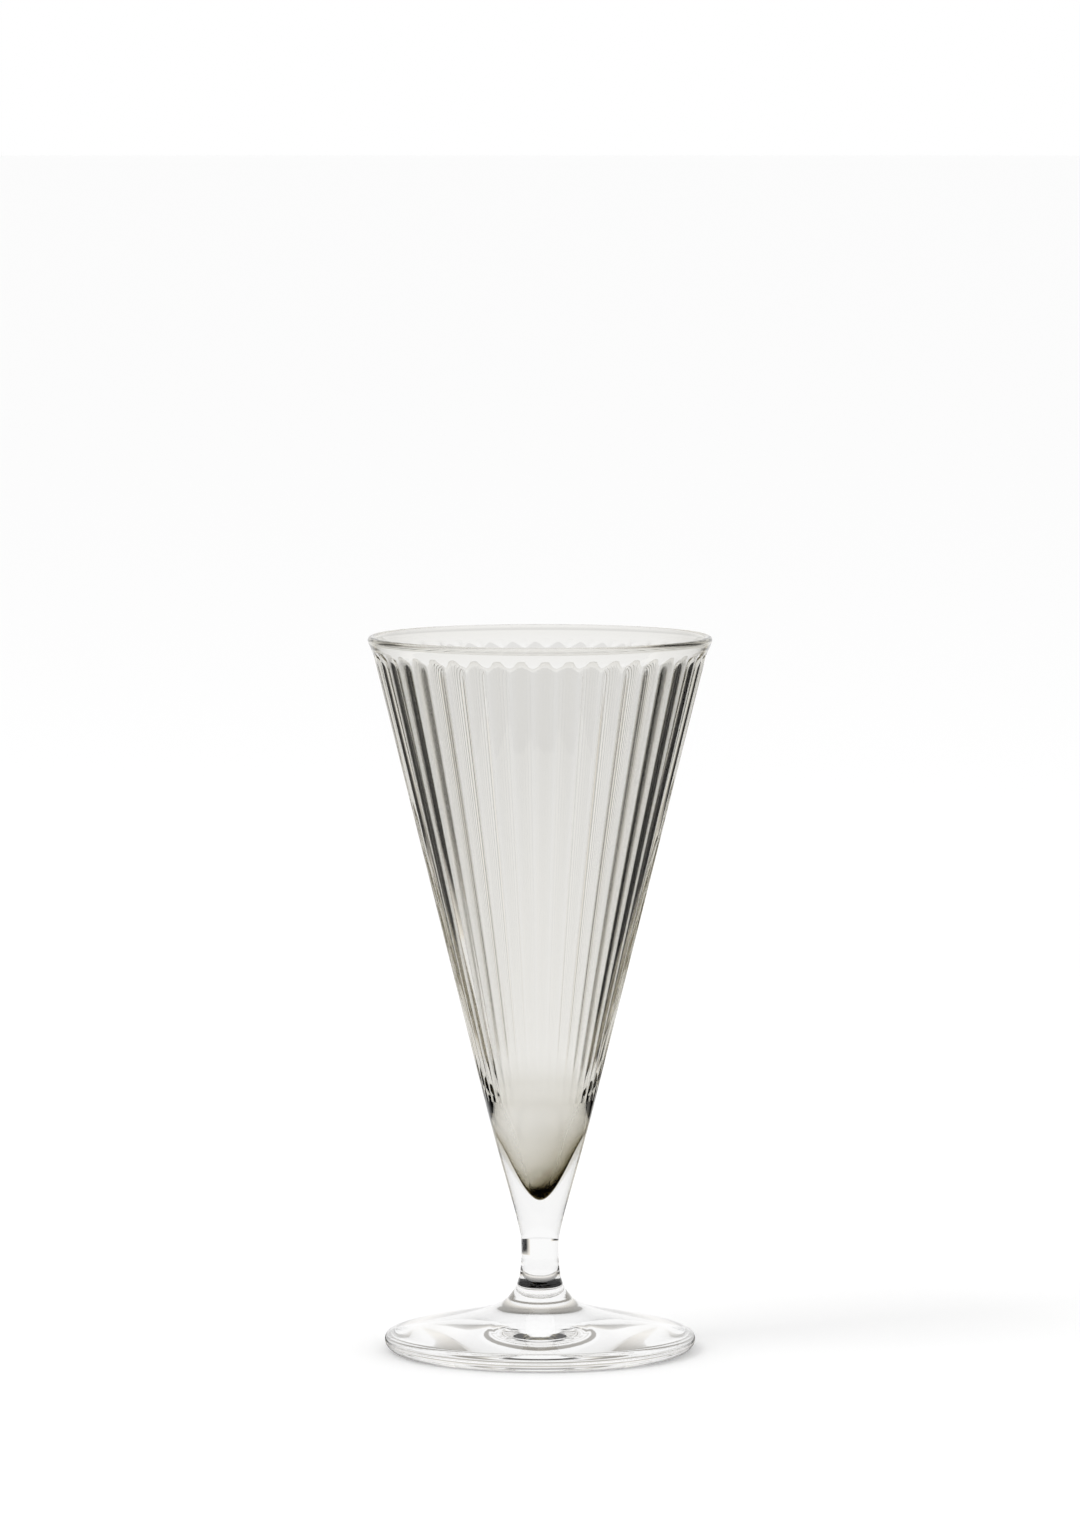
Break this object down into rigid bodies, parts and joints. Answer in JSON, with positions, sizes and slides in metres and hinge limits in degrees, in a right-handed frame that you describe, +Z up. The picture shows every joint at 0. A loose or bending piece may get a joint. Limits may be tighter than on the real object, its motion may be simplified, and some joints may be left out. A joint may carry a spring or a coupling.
{
  "type": "stemmed ribbed glass",
  "caption": "Stemmed glass with a tall ribbed conical bowl of lightly tinted glass, a short clear stem and a round clear foot.",
  "frame": {"origin": "centre of the resting ring, on the surface that the foot stands on", "axes": "+Z up along the glass's axis, towards the bowl's open rim; X and Y lie in the resting plane"},
  "size_m": [0.08, 0.08, 0.167],
  "materials": {
    "smoke_glass": "fire-polished, lightly smoke-tinted",
    "clear_glass": "fire-polished, clear"
  },
  "bodies": {
    "root": {"bowl": "smoke_glass", "stem": "clear_glass", "foot": "clear_glass"}
  },
  "joints": []
}
